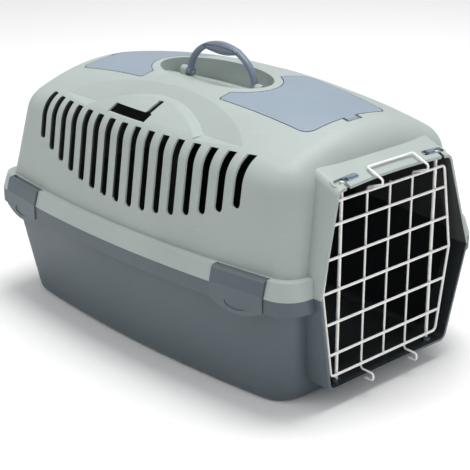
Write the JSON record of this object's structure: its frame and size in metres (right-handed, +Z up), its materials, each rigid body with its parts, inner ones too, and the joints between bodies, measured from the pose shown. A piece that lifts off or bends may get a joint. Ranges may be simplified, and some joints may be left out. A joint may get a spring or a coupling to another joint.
{
  "type": "pet transport carrier",
  "caption": "Two-part moulded pet carrier with a swinging wire door, side clips, lidded roof pockets and a folding carry handle.",
  "frame": {"origin": "middle of the tub's flat underside", "axes": "+X out of the door end, along the carrier; +Y across it; +Z up"},
  "size_m": [0.6139, 0.396, 0.3833],
  "materials": {
    "sage_plastic": "fine matt grain",
    "slate_plastic": "fine matt grain",
    "lid_plastic": "satin",
    "handle_plastic": "satin",
    "white_coated_wire": "glossy white coating",
    "pin_steel": "plain"
  },
  "bodies": {
    "shell": {"base_tub": "slate_plastic", "top_shell": "sage_plastic", "handle_pivot_pins": "pin_steel", "lid_hinge_pins": "pin_steel", "clip_hinge_pins": "pin_steel"},
    "door": {"door_frame_wire": "white_coated_wire", "door_cross_wire_1": "white_coated_wire", "door_cross_wire_2": "white_coated_wire", "door_cross_wire_3": "white_coated_wire", "door_cross_wire_4": "white_coated_wire", "door_cross_wire_5": "white_coated_wire", "door_centre_wire": "white_coated_wire", "hinge_rod": "white_coated_wire", "closing_rod": "white_coated_wire", "latch_wire": "white_coated_wire"},
    "handle": {"carry_handle": "handle_plastic"},
    "front_lid": {"front_lid": "lid_plastic"},
    "rear_lid": {"rear_lid": "lid_plastic"},
    "front_near_clip": {"front_near_clip": "slate_plastic"},
    "front_far_clip": {"front_far_clip": "slate_plastic"},
    "rear_near_clip": {"rear_near_clip": "slate_plastic"},
    "rear_far_clip": {"rear_far_clip": "slate_plastic"},
    "near_slider": {"near_lock_slider": "handle_plastic"},
    "far_slider": {"far_lock_slider": "handle_plastic"}
  },
  "joints": [
    {"name": "door_hinge", "type": "hinge", "parent": "shell", "child": "door", "pos_m": [0.28895, 0.0847, 0.15], "axis": [0, 0, 1], "range_deg": [0, 105]},
    {"name": "handle_fold", "type": "hinge", "parent": "shell", "child": "handle", "pos_m": [0, -0.005, 0.3333], "axis": [1, 0, 0], "range_deg": [0, 70]},
    {"name": "front_lid_hinge", "type": "hinge", "parent": "shell", "child": "front_lid", "pos_m": [0.2255, 0, 0.32442], "axis": [0, 1, 0], "range_deg": [0, 105]},
    {"name": "rear_lid_hinge", "type": "hinge", "parent": "shell", "child": "rear_lid", "pos_m": [-0.2255, 0, 0.32442], "axis": [0, -1, 0], "range_deg": [0, 105]},
    {"name": "front_near_clip_hinge", "type": "hinge", "parent": "shell", "child": "front_near_clip", "pos_m": [0.21706, -0.17686, 0.1696], "axis": [-0.9921, -0.1252, 0], "range_deg": [0, 100]},
    {"name": "front_far_clip_hinge", "type": "hinge", "parent": "shell", "child": "front_far_clip", "pos_m": [0.21706, 0.17686, 0.1696], "axis": [0.9921, -0.1252, 0], "range_deg": [0, 100]},
    {"name": "rear_near_clip_hinge", "type": "hinge", "parent": "shell", "child": "rear_near_clip", "pos_m": [-0.21706, -0.17686, 0.1696], "axis": [-0.9921, 0.1252, 0], "range_deg": [0, 100]},
    {"name": "rear_far_clip_hinge", "type": "hinge", "parent": "shell", "child": "rear_far_clip", "pos_m": [-0.21706, 0.17686, 0.1696], "axis": [0.9921, 0.1252, 0], "range_deg": [0, 100]},
    {"name": "near_lock_slide", "type": "slide", "parent": "shell", "child": "near_slider", "axis": [0, -0.9979, -0.0643], "range_m": [0, 0.008]},
    {"name": "far_lock_slide", "type": "slide", "parent": "shell", "child": "far_slider", "axis": [0, -0.9979, 0.0643], "range_m": [0, 0.008]}
  ]
}
